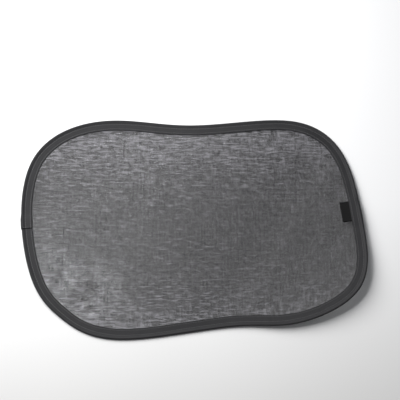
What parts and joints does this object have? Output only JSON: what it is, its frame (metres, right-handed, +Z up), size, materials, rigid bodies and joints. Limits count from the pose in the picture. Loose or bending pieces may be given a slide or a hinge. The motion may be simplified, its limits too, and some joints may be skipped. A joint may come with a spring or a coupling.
{
  "type": "car side window sunshade",
  "caption": "Cling-on car side window sunshade: a net and clear film stretched in a spring-wire hoop with a folded fabric binding.",
  "frame": {"origin": "on the surface that the shade lies on, below the middle of its box", "axes": "+X along the length, towards the end with the label; +Y across it, towards the waisted upper side; +Z up, out of the side that faces the cabin"},
  "size_m": [0.476, 0.3156, 0.0203],
  "materials": {
    "spring_wire": "drawn spring steel",
    "ferrule": "crimped",
    "binding_tape": "woven polyester, dark grey",
    "net": "open black net",
    "film": "clear, soft, glossy film",
    "label": "black woven, blank"
  },
  "bodies": {
    "root": {"wire_hoop": "spring_wire", "hoop_ferrule": "ferrule", "edge_binding": "binding_tape", "mesh_panel": "net", "cling_film": "film", "label_tab": "label"}
  },
  "joints": []
}
